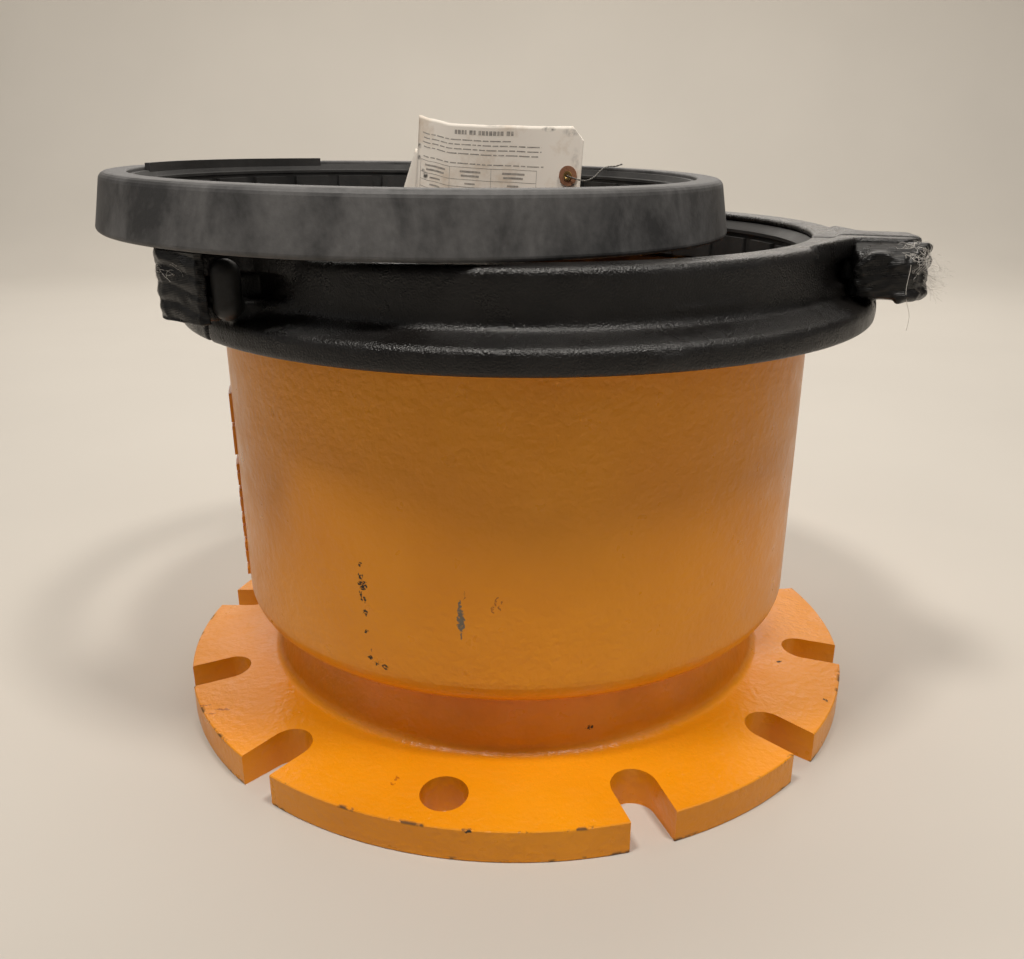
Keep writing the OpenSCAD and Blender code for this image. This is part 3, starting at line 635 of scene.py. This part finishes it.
def threadBundle(side):
    data = bpy.data.curves.new("threads" + side.title(), "CURVE")
    data.dimensions = "3D"
    data.bevel_depth = frays["bevel"]
    data.bevel_resolution = 1
    data.resolution_u = 3
    for tuft in frays[side]:
        rng = random.Random(tuft["seed"])
        middle = seamPlace(side, 0, 0, 0)
        outward = seamPlace(side, 1, 0, 0) - middle
        along = seamPlace(side, 0, 1, 0) - middle
        head = outward * tuft["head"][0] + along * tuft["head"][1] + Vector((0, 0, tuft["head"][2]))
        for i in range(tuft["count"]):
            p = seamPlace(side, *(rng.uniform(*span) for span in tuft["from"]))
            way = (head * rng.choice((1, -1) if tuft["hug"] else (1,))).normalized()
            reach = rng.uniform(*tuft["length"]) / frays["steps"]
            places = []
            for k in range(frays["steps"] + 1):
                if tuft["hug"]:     # lies on the tape
                    near, normal, index, far = tapeFace[side].find_nearest(p)
                    p = near + normal * tuft["hug"] * rng.uniform(0.4, 1.6)
                places.append(p)
                way = (way + Vector([rng.uniform(-1, 1) for j in range(3)]) * tuft["curl"]).normalized()
                p = p + way * reach
            addStrand(data, places, tuft["thick"])
    if side == "right":     # one thread lies down the bundle and hangs off it
        places = [seamPlace(side, *spot) for spot in frays["hanging"]]
        for k in range(frays["hangingLies"]):
            near, normal, index, far = tapeFace[side].find_nearest(places[k])
            places[k] = near + normal * frays["hangingOff"]
        addStrand(data, places, frays["hangingThick"])
    piece = bpy.data.objects.new("threads" + side.title(), data)
    bpy.context.scene.collection.objects.link(piece)
    data.materials.append(finishes["thread"])
    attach(piece, "adaptor")


threadBundle("left")
threadBundle("right")
print("tape and threads done")


# the tag, two curled cards on a wire
def cardMesh(name, inside, place, nu, nv, uSpan, vSpan, thick):
    bm = bmesh.new()
    layers = []
    for out in (0.0, -thick):
        grid = {}
        for i in range(nu + 1):
            for k in range(nv + 1):
                u = uSpan[0] + (uSpan[1] - uSpan[0]) * i / nu
                v = vSpan[0] + (vSpan[1] - vSpan[0]) * k / nv
                u, v = inside(u, v)
                grid[i, k] = bm.verts.new(place(u, v, out))
        layers.append(grid)
    front, back = layers
    for i in range(nu):
        for k in range(nv):
            bm.faces.new((front[i, k], front[i + 1, k], front[i + 1, k + 1], front[i, k + 1]))
            bm.faces.new((back[i, k], back[i, k + 1], back[i + 1, k + 1], back[i + 1, k]))
    border = [(i, 0) for i in range(nu)] + [(nu, k) for k in range(nv)]
    border += [(i, nv) for i in range(nu, 0, -1)] + [(0, k) for k in range(nv, 0, -1)]
    for a, b in zip(border, border[1:] + border[:1]):
        bm.faces.new((front[b], front[a], back[a], back[b]))
    mesh = bpy.data.meshes.new(name)
    bm.normal_update()
    bm.to_mesh(mesh)
    bm.free()
    shadeSmooth(mesh)
    return mesh


def clipped(u, v):     # the two cut corners at the eyelet's end
    room = tag["clip"] - (tag["long"] - u)
    if room > 0:
        v = min(max(v, room), tag["tall"] - room)
    return u, v


mesh = cardMesh("tagFront", clipped, onTag, *tag["cuts"], (0, tag["long"]), (0, tag["tall"]), tag["thick"])
addPiece("tagFront", mesh, "card", "card", "tag_card")

backCard = {
    "long": 0.096, "tall": 0.038, "left": -0.0018, "top": 0.0394,
    "rollDeg": 19, "behind": 0.0011, "cuts": (40, 14),
}


def onBackCard(u, v, out=0.0):
    roll = math.radians(backCard["rollDeg"])
    x = backCard["left"] + u * math.cos(roll) + (v - backCard["tall"]) * math.sin(roll)
    z = backCard["top"] - u * math.sin(roll) + (v - backCard["tall"]) * math.cos(roll)
    free = min(1, max(0, z / tag["tall"]))
    bow = tag["wave"] * math.sin(max(x, 0) * tag["waveRate"] + tag["waveFrom"]) * free
    local = Vector((x, max(bow, 0) + backCard["behind"] - out, z))
    return Vector(tag["corner"]) + tagTurn @ local


def unclipped(u, v):
    return u, v


backSpans = (0, backCard["long"]), (0, backCard["tall"])
mesh = cardMesh("tagBack", unclipped, onBackCard, *backCard["cuts"], *backSpans, tag["thick"])
addPiece("tagBack", mesh, "card", "card", "tag_card_back")

# plain ruled rows and boxes on the front card
printing = {
    "seed": 4, "lift": 0.00006, "step": 0.0018,
    "title": (0.029, 0.075, 0.0540, 0.0566),   # from, to, low and high
    "titleBlock": (0.0016, 0.0026), "titleGaps": (0.0006, 0.0006, 0.0022),
    "rows": [0.0506, 0.0478, 0.0450, 0.0422, 0.0362], "from": 0.003, "to": 0.095, "indent": 0.002,
    "shorter": (0, 0.002, 0.004, 0.022), "dash": (0.0025, 0.0085), "dashGap": 0.0012, "dashHalf": 0.00032,
    "boxTop": 0.0338, "boxLow": 0.010, "boxCols": (0.003, 0.026, 0.058, 0.0905),
    "boxRows": (0.0262, 0.0216, 0.0170), "ruleHalf": 0.00014,
    "heads": ((0.008, 0.0032, 0.0020), (0.007, 0.0058, 0.0046)),   # half width, then down from the box's top
    "field": (0.004, 0.0030, 0.0020),
}


def printedMesh():
    rng = random.Random(printing["seed"])
    bm = bmesh.new()

    def bar(u0, u1, v0, v1):
        steps = max(1, int((u1 - u0) / printing["step"]))
        last = None
        for i in range(steps + 1):
            u = u0 + (u1 - u0) * i / steps
            pair = [bm.verts.new(onTag(u, v, printing["lift"])) for v in (v0, v1)]
            if last:
                bm.faces.new((last[0], pair[0], pair[1], last[1]))
            last = pair

    u, titleEnd, titleLow, titleHigh = printing["title"]
    while u < titleEnd:     # heading as short heavy blocks
        w = rng.uniform(*printing["titleBlock"])
        bar(u, u + w, titleLow, titleHigh)
        u += w + rng.choice(printing["titleGaps"])
    for row in printing["rows"]:
        u = printing["from"] + rng.uniform(0, printing["indent"])
        end = printing["to"] - rng.choice(printing["shorter"])
        while u < end:
            w = rng.uniform(*printing["dash"])
            bar(u, min(u + w, end), row - printing["dashHalf"], row + printing["dashHalf"])
            u += w + printing["dashGap"]
    cols = printing["boxCols"]
    half = printing["ruleHalf"]
    for v in (printing["boxTop"], *printing["boxRows"], printing["boxLow"]):
        bar(cols[0], cols[-1], v - half, v + half)
    for u in cols:
        bar(u - half, u + half, printing["boxLow"], printing["boxTop"])
    for c0, c1 in zip(cols, cols[1:]):     # short fields in the boxes
        mid = (c0 + c1) / 2
        for wide, low, high in printing["heads"]:
            bar(mid - wide, mid + wide, printing["boxTop"] - low, printing["boxTop"] - high)
        wide, low, high = printing["field"]
        for v in printing["boxRows"]:
            bar(mid - wide, mid + wide, v - low, v - high)
    mesh = bpy.data.meshes.new("tagRows")
    bm.to_mesh(mesh)
    bm.free()
    return mesh


addPiece("tagRows", printedMesh(), "ink", "card")

# wire, two strands twisted together past the card's end
wireLook = {
    "route": [   # along, through and up the card from the eyelet, in mm
        (0, -1.2, 0), (3, -2, -0.6), (8, -1.8, -1.6), (10.5, -0.6, -2), (12, 2, -2), (12.5, 9, -1),
        (12.5, 16, 1), (12.5, 22, 3.4), (13, 27, 5.2), (15, 31, 6.1), (18, 33.5, 6.4), (22, 35, 8),
    ],
    "strand": 0.00028, "apart": 0.00024, "turns": 11, "sides": 7, "steps": 10, "patch": 0.0005,
}


def wireMesh():
    start = Vector((tag["long"] - tag["eyeletIn"], -tag["thick"] - wireLook["patch"], tag["tall"] / 2))
    base = [Vector(tag["corner"]) + tagTurn @ (start + Vector(p) / 1000) for p in wireLook["route"]]
    fine = []
    for i in range(len(base) - 1):     # smooth through the route's points
        p0, p1, p2, p3 = base[max(i - 1, 0)], base[i], base[i + 1], base[min(i + 2, len(base) - 1)]
        bend = 2 * p0 - 5 * p1 + 4 * p2 - p3
        twist = 3 * p1 - p0 - 3 * p2 + p3
        for k in range(wireLook["steps"]):
            t = k / wireLook["steps"]
            fine.append(0.5 * (2 * p1 + (p2 - p0) * t + bend * t * t + twist * t ** 3))
    fine.append(base[-1])
    bm = bmesh.new()
    sides = wireLook["sides"]
    spokes = [2 * math.pi * k / sides for k in range(sides)]
    for strand in (0, math.pi):
        rings = []
        for i, p in enumerate(fine):
            along = (fine[min(i + 1, len(fine) - 1)] - fine[max(i - 1, 0)]).normalized()
            across = along.cross(Vector((0.2, 0.35, 1))).normalized()
            over = across.cross(along)
            a = strand + 2 * math.pi * wireLook["turns"] * i / len(fine)
            centre = p + wireLook["apart"] * (across * math.cos(a) + over * math.sin(a))
            ring = [across * math.cos(b) + over * math.sin(b) for b in spokes]
            rings.append([bm.verts.new(centre + wireLook["strand"] * spoke) for spoke in ring])
        for r0, r1 in zip(rings, rings[1:]):
            for k in range(sides):
                bm.faces.new((r0[k], r1[k], r1[(k + 1) % sides], r0[(k + 1) % sides]))
        bm.faces.new(rings[0])
        bm.faces.new(rings[-1][::-1])
    bmesh.ops.recalc_face_normals(bm, faces=bm.faces)
    mesh = bpy.data.meshes.new("tagTie")
    bm.to_mesh(mesh)
    bm.free()
    shadeSmooth(mesh)
    return mesh


addPiece("tagTie", wireMesh(), "wire", "tie_wire", "tag_wire")
print("tag done")

# plain pale floor that runs up into a backdrop, and soft light
studio = {
    "floor": (0.54, 0.505, 0.455), "fade": 0.96,
    "half": 5, "wallAt": 2.4, "bend": 0.7, "wallTop": 3, "steps": 12,
    "world": (0.95, 0.93, 0.90), "worldStrength": 0.1,
}


def sweepLine():     # the floor's line from front to back, as y and z
    line = [(-studio["half"], 0), (studio["wallAt"] - studio["bend"], 0)]
    for i in range(1, studio["steps"] + 1):
        a = math.pi / 2 * i / studio["steps"]
        y = studio["wallAt"] - studio["bend"] * (1 - math.sin(a))
        line.append((y, studio["bend"] * (1 - math.cos(a))))
    return line + [(studio["wallAt"], studio["wallTop"])]


floorMesh = bpy.data.meshes.new("studioFloor")
bm = bmesh.new()
rows = [[bm.verts.new((x, y, z)) for x in (-studio["half"], studio["half"])] for y, z in sweepLine()]
for r0, r1 in zip(rows, rows[1:]):
    bm.faces.new((r0[0], r0[1], r1[1], r1[0]))
bm.to_mesh(floorMesh)
bm.free()
shadeSmooth(floorMesh)
floor = bpy.data.objects.new("studioFloor", floorMesh)
bpy.context.scene.collection.objects.link(floor)
mat, tree, shader, where = newFinish("paleFloor", 0.7)
faded = tuple(c * studio["fade"] for c in studio["floor"])
twoTone(tree, shader, cloud(tree, where, 3, 3), (0.3, studio["floor"]), (0.7, faded))
floorMesh.materials.append(mat)

world = bpy.data.worlds.new("studioAir")
bpy.context.scene.world = world
world.use_nodes = True
world.node_tree.nodes["Background"].inputs["Color"].default_value = (*studio["world"], 1)
world.node_tree.nodes["Background"].inputs["Strength"].default_value = studio["worldStrength"]


lamps = {   # place, aim, size, power and colour
    "ceilingLeft": ((-0.5, -0.6, 2.0), (0, -0.05, 0.1), (0.3, 0.3), 21, (1, 0.95, 0.88)),
    "ceilingRight": ((0.54, -0.6, 2.0), (0, -0.05, 0.1), (0.3, 0.3), 21, (1, 0.95, 0.88)),
    "rightSoft": ((1.5, -0.9, 1.1), (0, 0, 0.15), (0.9, 0.9), 2.8, (1, 0.95, 0.89)),
    "leftSoft": ((-1.6, -0.6, 1.0), (0, 0, 0.15), (0.9, 0.9), 1.8, (1, 0.95, 0.9)),
    "rearSoft": ((0, 1.7, 1.0), (0, 0, 0.2), (2.2, 0.6), 8, (1, 0.96, 0.92)),
    "wallSoft": ((0, 1.1, 2.3), (0, 2.4, 0.5), (4, 0.5), 50, (1, 0.95, 0.88)),
}
for name, (place, aim, size, power, colour) in lamps.items():
    data = bpy.data.lights.new(name, "AREA")
    data.shape = "RECTANGLE"
    data.size, data.size_y = size
    data.energy = power
    data.color = colour
    lamp = bpy.data.objects.new(name, data)
    lamp.location = place
    lamp.rotation_euler = (Vector(aim) - Vector(place)).to_track_quat("-Z", "Y").to_euler()
    bpy.context.scene.collection.objects.link(lamp)
print("studio set")
